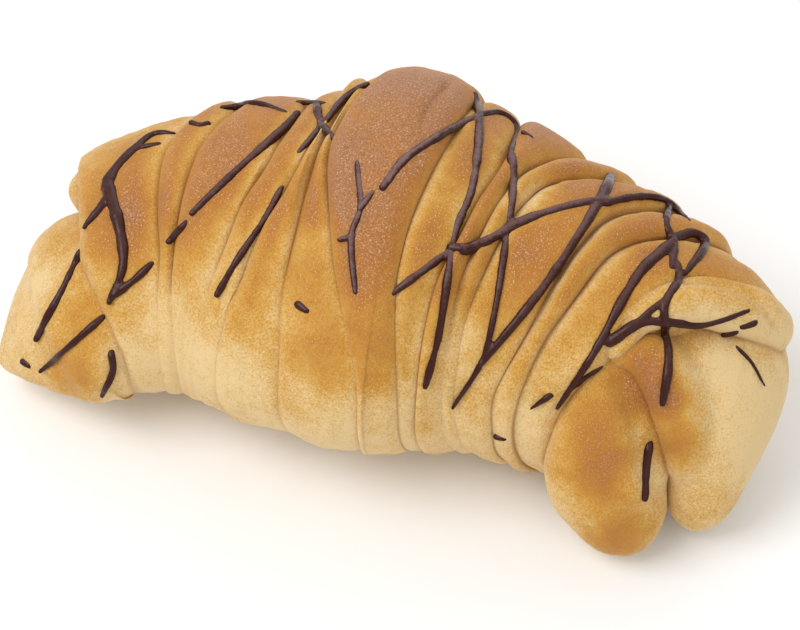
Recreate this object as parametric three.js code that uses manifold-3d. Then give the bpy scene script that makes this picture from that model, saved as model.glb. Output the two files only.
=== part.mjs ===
// A croissant of soft bread dough with a dark chocolate drizzle. Millimetres, +Z up.
// The crescent lies along X with both horns bent toward -Y, and rests on a flat underside at z = 0.
import * as THREE from "three";
import { mergeVertices } from "three/addons/utils/BufferGeometryUtils.js";
import Module from "manifold-3d";

const wasm = await Module();
wasm.setup();

// ---------- sizes ----------

// The roll, station by station along X: where its middle runs and how thick it is.
const ROLL = [
  { x: -68, y: -9.6, z: 20.7, depth: 26, height: 20 },
  { x: -54, y: -2.5, z: 22.5, depth: 29, height: 22.5 },
  { x: -42, y: 1, z: 25, depth: 32, height: 25.5 },
  { x: -22, y: 1.5, z: 28, depth: 37.5, height: 28 },
  { x: -12, y: 2.4, z: 29.4, depth: 40.8, height: 30.6 },
  { x: 0, y: 3.5, z: 30.5, depth: 40, height: 32.5 },
  { x: 20, y: 2.5, z: 27.5, depth: 34, height: 29 },
  { x: 38, y: -1, z: 25.5, depth: 30, height: 27.5 },
  { x: 54, y: -7.5, z: 24.5, depth: 28, height: 25 },
  { x: 64, y: -14, z: 23.5, depth: 25, height: 22 },
];

// Where each fold line crosses the roll: its station low at the front, on the front shoulder,
// over the top and down the back; how high its lip stands, the share of that height kept low at
// the front, and which neighbour lies on top.
const FOLDS = [
  { low: -62.5, shoulder: -64.7, top: -63.7, back: -62, lip: 0, kept: 1, over: "right" },
  { low: -55, shoulder: -52.3, top: -50, back: -44, lip: 1.6, kept: 0.35, over: "right" },
  { low: -50.3, shoulder: -48.3, top: -43.5, back: -39, lip: 2, kept: 0.15, over: "right" },
  { low: -37.5, shoulder: -33.5, top: -29, back: -27, lip: 0.7, kept: 0.1, over: "right" },
  { low: -30, shoulder: -27, top: -21.5, back: -18, lip: 1.7, kept: 0.5, over: "right" },
  { low: -20, shoulder: -20, top: -19, back: -13, lip: 0.8, kept: 0.6, over: "right" },
  { low: -4.8, shoulder: -11, top: -16.3, back: -8, lip: 2.6, kept: 0.4, over: "right" },
  { low: 7.8, shoulder: 2.8, top: 5, back: 6, lip: 1.4, kept: 0.6, over: "left" },
  { low: 12, shoulder: 11.6, top: 15.5, back: 14, lip: 1.6, kept: 0.8, over: "right" },
  { low: 18, shoulder: 16, top: 18.5, back: 26, lip: 1.2, kept: 0.1, over: "left" },
  { low: 21, shoulder: 19.5, top: 23, back: 35, lip: 1.8, kept: 0.1, over: "left" },
  { low: 30.2, shoulder: 33.5, top: 36, back: 43, lip: 2, kept: 0.6, over: "left" },
  { low: 36.4, shoulder: 38.5, top: 42, back: 51, lip: 2.4, kept: 0.8, over: "left" },
  { low: 43, shoulder: 47, top: 54, back: 62, lip: 0, kept: 1, over: "left" },
];
const FOLD_ANGLES = { low: 10, shoulder: 55, top: 100, back: 150 };

const LIP_ROUND = 2.2; // how far in from its edge a lip reaches full height
const CREASE = 0.7; // depth of the crease under each lip
const SWELL = 0.8; // how far each wrap bulges between its creases
const LOW_RELIEF = 0.2; // share of crease and bulge kept low at the front
const AROUND = 40; // steps around the roll
const ACROSS = [0, 0.06, 0.25, 0.6]; // steps across each wrap, from one fold line to the next
const LIP_RISE = [25, 80]; // angles at the front between which a lip grows to its full height
const END_BULGE = [3, 6.5]; // how far the rounded left and right ends stand out from the roll
const END_TURNS = [15, 35, 60, 88]; // angles over each rounded end at which it has a ring

// The tongues of dough at the two ends: the middle of each, with half its width and thickness.
// The brow is the ridge along the left edge of the right foot.
const LOBES = {
  tail: {
    side: [0.55, -0.8, 0.2],
    path: [
      { at: [-52, -9, 20], width: 19, thickness: 17 },
      { at: [-61.7, -12.4, 18], width: 23.2, thickness: 16.4 },
      { at: [-68, -16.3, 14], width: 20.7, thickness: 14 },
      { at: [-72.9, -19.6, 12], width: 15, thickness: 10 },
    ],
  },
  collar: {
    side: [0.35, -0.9, 0],
    path: [
      { at: [-58, 8, 31], width: 9, thickness: 9 },
      { at: [-66, 4, 34], width: 6.5, thickness: 6.5 },
    ],
  },
  leftFoot: {
    side: [0.9, 0.42, 0],
    path: [
      { at: [45, -15, 39], width: 4, thickness: 4.5 },
      { at: [45.6, -20.5, 33], width: 9.3, thickness: 8 },
      { at: [46.4, -24.8, 25], width: 11.8, thickness: 9.5 },
      { at: [48, -28.5, 16.5], width: 12.2, thickness: 10 },
      { at: [51.6, -31.5, 9], width: 9.4, thickness: 8 },
    ],
  },
  rightFoot: {
    side: [0.8, 0.3, -0.52],
    path: [
      { at: [59, -0.5, 31.5], width: 15, thickness: 10 },
      { at: [63.4, -6.1, 27.9], width: 17.5, thickness: 12 },
      { at: [65.7, -12.7, 23.6], width: 13.6, thickness: 11.5 },
      { at: [65.9, -18.8, 17], width: 10.2, thickness: 10 },
      { at: [65.6, -23.5, 9.5], width: 7.5, thickness: 7.5 },
    ],
  },
  brow: {
    side: [0.6, 0.4, -0.7],
    path: [
      { at: [46.5, -17, 42.5], width: 3, thickness: 3.5 },
      { at: [51, -15.5, 40], width: 6, thickness: 5.5 },
      { at: [56, -16.5, 36], width: 7.5, thickness: 6.5 },
      { at: [60, -20, 30], width: 7, thickness: 6.5 },
      { at: [62.5, -23.5, 22], width: 5.5, thickness: 5 },
    ],
  },
  curl: {
    side: [-0.4, -0.8, 0.4],
    path: [
      { at: [45.6, -17.2, 44.3], width: 2.2, thickness: 2.4 },
      { at: [49, -10.8, 47], width: 3.6, thickness: 3.5 },
      { at: [58, -4.8, 46.5], width: 5, thickness: 4.6 },
      { at: [68.6, 0, 40.5], width: 5.5, thickness: 5 },
      { at: [73.6, 2.5, 33.5], width: 5, thickness: 4.4 },
    ],
  },
};
const LOBE_RINGS = 9;
const LOBE_AROUND = 24;
const LOBE_CAP = 4; // rings in each rounded end

// The chocolate falls along one slanting direction. Each line is a route over the table, [x, y],
// where the fall would land if the pastry were not there, with its width at the two ends.
const FALL = { turn: 14, slope: 52 };
const DRIZZLE = {
  horn_line_left: [{ wide: [1.6, 1.8], route: [[-71, 14], [-72, 3], [-74.5, -10]] }],
  horn_line_middle: [{ wide: [2, 1.1], route: [[-62, -1], [-67, -10], [-72, -18]] }],
  horn_line_right: [{ wide: [1.8, 1.4], route: [[-58.5, -9], [-57, -14], [-58, -21]] }],
  horn_drop: [{ wide: [2, 2], route: [[-76.5, -16.5], [-75, -17]] }],
  left_fork: [
    { wide: [1.4, 3], route: [[-61, 48], [-65, 47], [-67.5, 42], [-69.5, 36], [-70, 31]] },
    { wide: [1.5, 1.5], route: [[-68, 41], [-66, 43], [-63, 44.5]] },
    { wide: [2.6, 1.3], route: [[-70, 32], [-69, 28], [-71.5, 20]] },
    { wide: [3, 1.6], route: [[-70, 32], [-64, 21], [-61, 12], [-61.5, 3]] },
    { wide: [2, 1.6], route: [[-61, 5], [-58, 9.5], [-55.5, 14.5]] },
  ],
  ridge_drop: [{ wide: [1.9, 1.6], route: [[-58, 51.5], [-56, 51], [-54.5, 52]] }],
  ridge_line: [{ wide: [1.9, 1.4], route: [[-53, 57], [-50, 58.5], [-46, 59.5], [-40, 58.5]] }],
  crown_line: [{ wide: [2.1, 1.6], route: [[-37.5, 59], [-39, 54], [-42, 47], [-50.5, 28.5]] }],
  crown_fork: [
    { wide: [1.3, 1.5], route: [[-38.5, 62], [-35, 62.5], [-33, 62.5]] },
    { wide: [2, 1.6], route: [[-34.5, 62.5], [-32, 57], [-28.5, 53.5]] },
    { wide: [1.7, 1.6], route: [[-25.5, 69.5], [-29, 65], [-31, 58], [-34, 48.5]] },
  ],
  ridge_line_short: [{ wide: [1.6, 1.5], route: [[-51, 26], [-53.5, 20.5]] }],
  ridge_line_long: [{ wide: [1.5, 1.6], route: [[-35, 39], [-36, 31], [-39, 18], [-40.5, 10]] }],
  front_speck: [{ wide: [2, 1.6], route: [[-24.5, 11.5], [-22.5, 10.5]] }],
  dome_line: [
    { wide: [1.6, 1.4], route: [[-22, 48], [-18.5, 37], [-18.5, 30], [-14.5, 17]] },
    { wide: [1.5, 1.6], route: [[-17, 41.5], [-18.5, 37]] },
    { wide: [1.2, 1.6], route: [[-20.5, 28.5], [-18, 30]] },
  ],
  main_web: [
    { wide: [1.8, 1.9], route: [[-15.5, 43], [-13, 51], [-7, 60], [-2.5, 65.5]] },
    { wide: [2, 1.5], route: [[-4, 72.5], [-1.5, 65], [1, 47], [0.5, 36], [3.5, 10], [4, -2]] },
    { wide: [1.4, 1.8], route: [[-2.5, 66], [2, 68.5], [6, 66], [6.5, 57]] },
    { wide: [2, 1], route: [[6.5, 58], [8.5, 51], [10.5, 36], [13, 8], [10.5, -6]] },
    { wide: [2.5, 1.6], route: [[27.5, 58.5], [26, 51], [20, 27], [13, 6]] },
    { wide: [2.3, 2], route: [[0.5, 32], [4, 32.5], [13, 42], [21, 48], [27, 51]] },
    { wide: [1.5, 1.9], route: [[-7.5, 18.5], [-4, 24], [1, 32]] },
    { wide: [1.8, 1.3], route: [[26.5, 50], [34, 54], [40, 54.5], [44.5, 50.5]] },
    { wide: [1.8, 1.8], route: [[40.5, 53.5], [40, 48.5], [42.5, 44], [43, 38]] },
    { wide: [2.3, 1.5], route: [[42, 44.5], [46, 47.5], [49, 46], [46, 37]] },
    { wide: [2.6, 1.3], route: [[42.5, 44.5], [37, 34], [33, 13], [30, -1]] },
    { wide: [2.1, 1.9], route: [[44, 39], [45, 35], [43.5, 29], [44.5, 24]] },
    { wide: [1.6, 1.2], route: [[43.5, 30], [39.5, 23.5]] },
    { wide: [2.3, 1.3], route: [[35.5, 17], [40, 23], [45, 24.5], [52, 25.5], [60, 31]] },
    { wide: [2.2, 1.8], route: [[44.5, 25], [47.5, 15.5], [49, 5]] },
    { wide: [1.2, 1.3], route: [[35.5, 11], [33.5, 8], [31.5, 4.5]] },
  ],
  back_drop: [{ wide: [1.6, 1.2], route: [[7.5, 64.5], [9.5, 63.5]] }],
  end_drops: [{ wide: [1.8, 2], route: [[60, 27], [62, 28.5]] }],
  end_smear: [{ wide: [1.4, 1.9], route: [[57, 24], [59, 25.5]] }],
  end_hairline: [{ wide: [1.1, 0.7], route: [[60, 22], [64, 19], [68, 14]] }],
  front_tick: [{ wide: [1.6, 0.8], route: [[28, 2], [25, -2.5]] }],
  front_drop: [{ wide: [1.8, 1.8], route: [[20.5, -11], [22, -11]] }],
  foot_line: [{ wide: [2.1, 2], route: [[49.5, -5], [50.5, -12], [52, -18.5]] }],
};
const BEAD_STEP = 3.6; // distance between the rings of a line
const BEAD_AROUND = 5;
const BRIDGE = [-0.4, 0, 0.4]; // where the crust is felt for, in steps either side of a ring
const SKY = 300; // height the chocolate falls from
const FINEST_CRUST = 0.06; // detail smaller than this is smoothed away
const FINEST_DRIZZLE = 0.1;
const BEAD_LIFT = 0.5; // how far the middle of a line stands off the crust
const BEAD_DEPTH = 0.9; // half the thickness of a line, up to this share of half its width
const CLEARANCE = 0.3; // gap left between chocolate and crust

// ---------- helpers ----------

const radians = (degrees) => (degrees * Math.PI) / 180;

// A smooth curve through rows of numbers at increasing keys.
function smooth(keys, rows, key) {
  const k = Math.min(Math.max(key, keys[0]), keys.at(-1));
  let i = 0;
  while (i < keys.length - 2 && k > keys[i + 1]) i++;
  const slope = (j, n) => {
    const a = Math.max(j - 1, 0);
    const b = Math.min(j + 1, keys.length - 1);
    return (rows[b][n] - rows[a][n]) / (keys[b] - keys[a]);
  };
  const h = keys[i + 1] - keys[i];
  const t = (k - keys[i]) / h;
  return rows[i].map((value, n) =>
    value * (2 * t ** 3 - 3 * t ** 2 + 1) +
    rows[i + 1][n] * (3 * t ** 2 - 2 * t ** 3) +
    h * slope(i, n) * (t ** 3 - 2 * t ** 2 + t) +
    h * slope(i + 1, n) * (t ** 3 - t ** 2));
}

// A closed skin over rings of points, its two ends shut by fans.
function skin(rings) {
  const count = rings[0].length;
  const points = rings.flat();
  const index = [];
  for (let r = 0; r < rings.length - 1; r++) {
    for (let i = 0; i < count; i++) {
      const a = r * count + i;
      const b = r * count + ((i + 1) % count);
      index.push(a, b, b + count, a, b + count, a + count);
    }
  }
  const last = (rings.length - 1) * count;
  for (let i = 1; i < count - 1; i++) {
    index.push(0, i + 1, i, last, last + i, last + i + 1);
  }
  const positions = new Float32Array(points.flatMap((p) => p.toArray()));
  return new THREE.BufferGeometry()
    .setAttribute("position", new THREE.BufferAttribute(positions, 3))
    .setIndex(index);
}

function solid(geometry) {
  const plain = new THREE.BufferGeometry()
    .setAttribute("position", geometry.getAttribute("position"))
    .setIndex(geometry.getIndex());
  const merged = mergeVertices(plain, 1e-4);
  const vertProperties = merged.attributes.position.array;
  const triVerts = new Uint32Array(merged.index.array);
  return new wasm.Manifold(new wasm.Mesh({ numProp: 3, vertProperties, triVerts }));
}

function geometryOf(body) {
  const mesh = body.getMesh();
  const positions = new Float32Array(mesh.numVert * 3);
  for (let i = 0; i < mesh.numVert; i++) {
    positions.set(mesh.vertProperties.subarray(i * mesh.numProp, i * mesh.numProp + 3), i * 3);
  }
  const geometry = new THREE.BufferGeometry()
    .setAttribute("position", new THREE.BufferAttribute(positions, 3))
    .setIndex(Array.from(mesh.triVerts));
  geometry.computeVertexNormals();
  return geometry;
}

// The biggest body of several, which also leaves out any pocket closed in between two tongues.
function largest(body) {
  return body.decompose().sort((a, b) => b.volume() - a.volume())[0];
}

// ---------- the roll ----------

// The ring of the roll at station s: its middle, its front direction and its half sizes.
function ringAt(s) {
  const keys = ROLL.map((r) => r.x);
  const rows = ROLL.map((r) => [r.y, r.z, r.depth, r.height]);
  const [y, z, depth, height] = smooth(keys, rows, s);
  const step = 0.5;
  const rise = smooth(keys, rows, s + step)[0] - smooth(keys, rows, s - step)[0];
  const span = Math.min(s + step, keys.at(-1)) - Math.max(s - step, keys[0]);
  const along = new THREE.Vector3(span, rise, 0).normalize();
  const front = new THREE.Vector3(along.y, -along.x, 0);
  return { middle: new THREE.Vector3(s, y, z), along, front, depth, height };
}

// Station of a fold line at an angle around the roll (0 front, 90 top, 180 back).
function foldStation(fold, angle) {
  const { low, shoulder, top, back } = FOLD_ANGLES;
  const under = (fold.low + fold.back) / 2;
  const keys = [back - 360, -90, low, shoulder, top, back, 270, low + 360];
  const values = [fold.back, under, fold.low, fold.shoulder, fold.top, fold.back, under, fold.low];
  return smooth(keys, values.map((v) => [v]), angle)[0];
}

function rounded(distance) {
  const u = Math.min(distance / LIP_ROUND, 1);
  return Math.sqrt(1 - (1 - u) ** 2);
}

// Height of a wrap's skin over the plain roll, a share t of the way from one fold to the next.
function wrapHeight(left, right, t, angle) {
  const width = foldStation(right, angle) - foldStation(left, angle);
  const high = THREE.MathUtils.smoothstep(angle, ...LIP_RISE);
  const lip = (fold) => fold.lip * THREE.MathUtils.lerp(fold.kept, 1, high);
  const fromLeft = left.over === "right" ? lip(left) * rounded(t * width) * (1 - t) : 0;
  const fromRight = right.over === "left" ? lip(right) * rounded((1 - t) * width) * t : 0;
  const toLeft = left === FOLDS[0] ? LIP_ROUND : t * width;
  const toRight = right === FOLDS.at(-1) ? LIP_ROUND : (1 - t) * width;
  const crease = CREASE * Math.max(0, 1 - Math.min(toLeft, toRight) / LIP_ROUND);
  const relief = THREE.MathUtils.lerp(LOW_RELIEF, 1, high);
  return fromLeft + fromRight + (SWELL * 4 * t * (1 - t) - crease) * relief;
}

function rollRing(stationAt, heightAt, share, grow) {
  const ring = [];
  for (let i = 0; i < AROUND; i++) {
    const angle = 270 - (360 * i) / AROUND;
    const { middle, front, depth, height } = ringAt(stationAt(angle));
    const out = heightAt(angle) + grow;
    const across = (depth + out) * share * Math.cos(radians(angle));
    const up = (height + out) * share * Math.sin(radians(angle));
    ring.push(middle.clone().addScaledVector(front, across).add(new THREE.Vector3(0, 0, up)));
  }
  return ring;
}

// The rounded end of the roll past a fold line, each ring smaller and further out.
function endRings(fold, bulge, sign, grow) {
  const { along } = ringAt(foldStation(fold, FOLD_ANGLES.top));
  return END_TURNS.map((turn) => {
    const share = Math.cos(radians(turn));
    const out = sign * (bulge + grow) * Math.sin(radians(turn));
    const ring = rollRing((angle) => foldStation(fold, angle), () => 0, share, grow);
    return ring.map((p) => p.addScaledVector(along, out));
  });
}

function roll(grow) {
  const rings = [];
  for (let f = 0; f < FOLDS.length - 1; f++) {
    const left = FOLDS[f];
    const right = FOLDS[f + 1];
    const mirrored = right.over === "left";
    const shares = mirrored ? ACROSS.map((t) => 1 - t).reverse() : ACROSS;
    for (const t of shares) {
      const station = (angle) => {
        return THREE.MathUtils.lerp(foldStation(left, angle), foldStation(right, angle), t);
      };
      const height = (angle) => wrapHeight(left, right, t, angle);
      rings.push(rollRing(station, height, 1, grow));
    }
  }
  const first = endRings(FOLDS[0], END_BULGE[0], -1, grow).reverse();
  const last = endRings(FOLDS.at(-1), END_BULGE[1], 1, grow);
  return skin([...first, ...rings, ...last]);
}

// ---------- the end tongues ----------

// How fast width and thickness change, per millimetre, from the station next to an end to the end.
function taper(end, next) {
  const apart = new THREE.Vector3(...end.at).distanceTo(new THREE.Vector3(...next.at));
  return [(end.width - next.width) / apart, (end.thickness - next.thickness) / apart];
}

function lobe({ side, path }, grow) {
  const keys = path.map((_, i) => i);
  const rows = path.map((p) => [...p.at, p.width, p.thickness]);
  const last = path.length - 1;
  const rings = [];
  const addRing = (k, share, push, [widen, thicken]) => {
    const row = smooth(keys, rows, k);
    const before = smooth(keys, rows, k - 0.05);
    const after = smooth(keys, rows, k + 0.05);
    const along = new THREE.Vector3(after[0] - before[0], after[1] - before[1], after[2] - before[2]);
    along.normalize();
    const wide = new THREE.Vector3(...side);
    wide.addScaledVector(along, -wide.dot(along)).normalize();
    const thick = new THREE.Vector3().crossVectors(along, wide);
    const middle = new THREE.Vector3(row[0], row[1], row[2]).addScaledVector(along, push);
    const halfWidth = (row[3] + widen * Math.abs(push) + grow) * share;
    const halfThickness = (row[4] + thicken * Math.abs(push) + grow) * share;
    rings.push(Array.from({ length: LOBE_AROUND }, (_, i) => {
      const a = (2 * Math.PI * i) / LOBE_AROUND;
      return middle.clone()
        .addScaledVector(wide, halfWidth * Math.cos(a))
        .addScaledVector(thick, halfThickness * Math.sin(a));
    }));
  };
  const turns = Array.from({ length: LOBE_CAP }, (_, c) => radians((86 * (c + 1)) / LOBE_CAP));
  const start = taper(path[0], path[1]);
  for (const u of turns.toReversed()) {
    addRing(0, Math.cos(u), -(path[0].thickness + grow) * Math.sin(u), start);
  }
  for (let r = 0; r <= LOBE_RINGS; r++) {
    addRing((last * r) / LOBE_RINGS, 1, 0, start);
  }
  const end = taper(path[last], path[last - 1]);
  for (const u of turns) {
    addRing(last, Math.cos(u), (path[last].thickness + grow) * Math.sin(u), end);
  }
  return skin(rings);
}

function pastry(grow) {
  let whole = solid(roll(grow));
  for (const name of Object.keys(LOBES)) {
    whole = whole.add(solid(lobe(LOBES[name], grow)));
  }
  const block = new THREE.BoxGeometry(400, 400, 60);
  block.translate(0, 0, -30);
  return largest(whole.subtract(solid(block))).simplify(FINEST_CRUST);
}

// ---------- the drizzle ----------

const fall = new THREE.Vector3(
  -Math.sin(radians(FALL.turn)) * Math.cos(radians(FALL.slope)),
  Math.cos(radians(FALL.turn)) * Math.cos(radians(FALL.slope)),
  -Math.sin(radians(FALL.slope)));

// How high above the table point (x, y), back along the fall, the crust is first touched.
function reach(crust, x, y) {
  const from = new THREE.Vector3(x, y, 0).addScaledVector(fall, -SKY);
  const [hit] = new THREE.Raycaster(from, fall).intersectObject(crust);
  return hit ? SKY - hit.distance : null;
}

// The middle line of one bead. It bridges creases: each point takes the highest crust near it.
function beadMiddles(crust, route) {
  const curve = new THREE.CatmullRomCurve3(route.map(([x, y]) => new THREE.Vector3(x, y, 0)));
  const steps = Math.max(2, Math.round(curve.getLength() / BEAD_STEP));
  const middles = [];
  for (let i = 0; i <= steps; i++) {
    const shares = BRIDGE.map((share) => THREE.MathUtils.clamp((i + share) / steps, 0, 1));
    const nearby = shares.map((share) => curve.getPointAt(share));
    const reaches = nearby.map(({ x, y }) => reach(crust, x, y)).filter((r) => r !== null);
    const point = curve.getPointAt(i / steps);
    middles.push(point.addScaledVector(fall, -Math.max(...reaches) - BEAD_LIFT));
  }
  return middles;
}

function bead(crust, { wide, route }) {
  const middles = beadMiddles(crust, route);
  const rings = [];
  const addRing = (i, share, push) => {
    const before = middles[Math.max(i - 1, 0)];
    const after = middles[Math.min(i + 1, middles.length - 1)];
    const along = after.clone().sub(before).normalize();
    const across = new THREE.Vector3().crossVectors(along, fall).normalize();
    const up = new THREE.Vector3().crossVectors(across, along);
    const half = (THREE.MathUtils.lerp(wide[0], wide[1], i / (middles.length - 1)) / 2) * share;
    const middle = middles[i].clone().addScaledVector(along, push);
    rings.push(Array.from({ length: BEAD_AROUND }, (_, k) => {
      const a = (-2 * Math.PI * k) / BEAD_AROUND;
      return middle.clone()
        .addScaledVector(across, half * Math.cos(a))
        .addScaledVector(up, half * BEAD_DEPTH * Math.sin(a));
    }));
  };
  addRing(0, 0.5, -wide[0] * 0.45);
  middles.forEach((_, i) => addRing(i, 1, 0));
  addRing(middles.length - 1, 0.5, wide[1] * 0.45);
  return solid(skin(rings));
}

function drizzle(crust, shell, lines) {
  const joined = lines.map((line) => bead(crust, line)).reduce((a, b) => a.add(b));
  return largest(joined.subtract(shell)).simplify(FINEST_DRIZZLE);
}

// ---------- the object ----------

function part(name, body, material) {
  const mesh = new THREE.Mesh(geometryOf(body), material);
  mesh.name = name;
  croissant.add(mesh);
  return mesh;
}

const dough = new THREE.MeshStandardMaterial({ color: 0xd9a55c, roughness: 0.7, metalness: 0 });
const chocolate = new THREE.MeshStandardMaterial({ color: 0x3a2220, roughness: 0.4, metalness: 0 });

const croissant = new THREE.Group();
const crust = part("pastry", pastry(0), dough);
crust.updateMatrixWorld();
const shell = pastry(CLEARANCE);
for (const [name, lines] of Object.entries(DRIZZLE)) {
  part(name, drizzle(crust, shell, lines), chocolate);
}

export default croissant;
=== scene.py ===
"""A croissant of soft bread dough with a dark chocolate drizzle, on a pale studio floor."""

import itertools
import math
from collections import namedtuple

import bmesh
import bpy
import numpy as np
from bpy.props import FloatProperty, FloatVectorProperty, IntProperty, PointerProperty
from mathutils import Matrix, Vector
from mathutils.bvhtree import BVHTree
from mathutils.kdtree import KDTree


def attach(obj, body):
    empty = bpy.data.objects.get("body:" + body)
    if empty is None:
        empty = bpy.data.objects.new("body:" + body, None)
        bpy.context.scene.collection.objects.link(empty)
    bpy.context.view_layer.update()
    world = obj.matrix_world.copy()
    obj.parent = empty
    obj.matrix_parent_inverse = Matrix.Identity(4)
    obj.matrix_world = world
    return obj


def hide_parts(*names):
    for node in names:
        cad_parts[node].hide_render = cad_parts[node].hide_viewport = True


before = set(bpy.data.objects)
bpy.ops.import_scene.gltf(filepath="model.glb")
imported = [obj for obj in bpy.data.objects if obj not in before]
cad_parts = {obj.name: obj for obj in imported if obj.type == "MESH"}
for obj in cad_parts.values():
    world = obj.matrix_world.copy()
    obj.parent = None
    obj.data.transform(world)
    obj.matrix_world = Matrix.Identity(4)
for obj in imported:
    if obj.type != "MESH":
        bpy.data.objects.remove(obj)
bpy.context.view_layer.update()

bl_info = {
    "name": "Chocolate Croissant",
    "version": (1, 0, 0),
    "blender": (4, 5, 0),
    "location": "3D View > Sidebar > Croissant",
    "description": "Builds a wrapped bread-dough croissant with a chocolate drizzle",
    "category": "Add Mesh",
}

MM = 0.001  # the shapes below are worked out in millimetres

# ---------- the shape of the dough ----------

# The roll, station by station along X: station, middle y, middle z, half depth, half height.
ROLL = [
    (-68, -9.6, 20.7, 26, 20),
    (-54, -2.5, 22.5, 29, 22.5),
    (-42, 1, 25, 32, 25.5),
    (-22, 1.5, 28, 37.5, 28),
    (-12, 2.4, 29.4, 40.8, 30.6),
    (0, 3.5, 30.5, 40, 32.5),
    (20, 2.5, 27.5, 34, 29),
    (38, -1, 25.5, 30, 27.5),
    (54, -7.5, 24.5, 28, 25),
    (64, -14, 23.5, 25, 22),
]

# Each fold line's station low at the front, on the front shoulder, over the top and down the back,
# the height of its lip, the share of that height kept low at the front, and which neighbour lies
# over the other.
Fold = namedtuple("Fold", "low shoulder top back lip kept over")
FOLDS = [Fold(*row) for row in (
    (-62.5, -64.7, -63.7, -62, 0, 1, "right"),
    (-55, -52.3, -50, -44, 1.6, 0.35, "right"),
    (-50.3, -48.3, -43.5, -39, 2, 0.15, "right"),
    (-37.5, -33.5, -29, -27, 0.7, 0.1, "right"),
    (-30, -27, -21.5, -18, 1.7, 0.5, "right"),
    (-20, -20, -19, -13, 0.8, 0.6, "right"),
    (-4.8, -11, -16.3, -8, 2.6, 0.4, "right"),
    (7.8, 2.8, 5, 6, 1.4, 0.6, "left"),
    (12, 11.6, 15.5, 14, 1.6, 0.8, "right"),
    (18, 16, 18.5, 26, 1.2, 0.1, "left"),
    (21, 19.5, 23, 35, 1.8, 0.1, "left"),
    (30.2, 33.5, 36, 43, 2, 0.6, "left"),
    (36.4, 38.5, 42, 51, 2.4, 0.8, "left"),
    (43, 47, 54, 62, 0, 1, "left"),
)]
LAST_WRAP = len(FOLDS) - 2

# Angles are in degrees round the roll: 0 front, 90 top, 180 back, 270 under it.
FOLD_ANGLES = (10, 55, 100, 150)
TOP_ANGLE = FOLD_ANGLES[2]
UNDER = 270
FULL_RELIEF = (25, 80)  # creases and bulges grow from their low share to all of it between these
LOW_RELIEF = 0.2  # share of crease and bulge kept low at the front
LINE_WANDER = 0.45  # how far a fold line strays from its route
NARROWEST = 0.5  # the least width of a wrap
OUT_OF_REACH = 9  # stands for the distance to a fold line where there is none
CREASE_WIDTH = 1.1  # how far a crease reaches out from its fold line
LINE_WIDTH = 0.6  # width of the painted shade line down in a fold
LIP_OVERHANG = 0.28  # how far a lip leans over its neighbour, as a share of its height
LIP_UNEVEN = 0.3  # how much a lip's height varies
FULL_CREST = 2.5  # lift at which dough counts as a crest
COLUMN_STEP = 0.42  # distance between mesh columns across a wrap
END_BULGE = (3, 6.5)  # how far the rounded left and right ends stand out from the roll
END_TURNS = np.radians(np.linspace(8, 89, 14))  # the rings of a rounded end, from rim to middle
TABLE = ((-200, -200, -60), (200, 200, 0))  # two corners of the block the flat base rests on

# How the dough's state carries over to its colour.
SHELTER = 2.4  # how far out from under a lip the dough stayed pale
SEAM = 1.1  # how wide the shaded line is where a tongue meets the roll
SEAM_PALE, SEAM_SHADE = 0.4, 0.7  # how sheltered the dough is in that line, and how much painted crease shade it gets there

# Tongues of dough at the two ends: side direction, and stations of middle x, y, z, half width and
# half thickness.
LOBES = {
    "tail": ((0.55, -0.8, 0.2), [
        (-52, -9, 20, 19, 17), (-61.7, -12.4, 18, 23.2, 16.4), (-68, -16.3, 14, 20.7, 14),
        (-72.9, -19.6, 12, 15, 10)]),
    "collar": ((0.35, -0.9, 0), [(-58, 8, 31, 9, 9), (-66, 4, 34, 6.5, 6.5)]),
    "foot_a": ((0.9, 0.42, 0), [
        (45, -15, 39, 4, 4.5), (45.6, -20.5, 33, 9.3, 8), (46.4, -24.8, 25, 11.8, 9.5),
        (48, -28.5, 16.5, 12.2, 10), (51.6, -31.5, 9, 9.4, 8)]),
    "foot_b": ((0.8, 0.3, -0.52), [
        (59, -0.5, 31.5, 15, 10), (63.4, -6.1, 27.9, 17.5, 12), (65.7, -12.7, 23.6, 13.6, 11.5),
        (65.9, -18.8, 17, 10.2, 10), (65.6, -23.5, 9.5, 7.5, 7.5)]),
    "brow": ((0.6, 0.4, -0.7), [
        (46.5, -17, 42.5, 3, 3.5), (51, -15.5, 40, 6, 5.5), (56, -16.5, 36, 7.5, 6.5),
        (60, -20, 30, 7, 6.5), (62.5, -23.5, 22, 5.5, 5)]),
    "curl": ((-0.4, -0.8, 0.4), [
        (45.6, -17.2, 44.3, 2.2, 2.4), (49, -10.8, 47, 3.6, 3.5), (58, -4.8, 46.5, 5, 4.6),
        (68.6, 0, 40.5, 5.5, 5), (73.6, 2.5, 33.5, 5, 4.4)]),
}

# How much each tongue browned as a crest of its own; below 0 it stayed pale. The brow is part of
# foot_b by then.
LOBE_CRESTS = {"tail": 0, "collar": -1, "foot_a": 0.2, "foot_b": 0, "curl": -1}
LOBE_AROUND, LOBE_RINGS, CAP_RINGS = 72, 54, 14  # mesh steps of a tongue and of its rounded ends
CAP_TURN = math.radians(88)  # how far round a rounded end goes before it is closed
KEY_STEP = 0.05  # step along a tongue's path, in stations, to find its direction
FOOT_VOXEL, FOOT_FLOW = 0.7, 30  # mesh size and smoothing that melt the brow into its foot
SHARP = math.radians(35)  # edges sharper than this stay sharp

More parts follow.
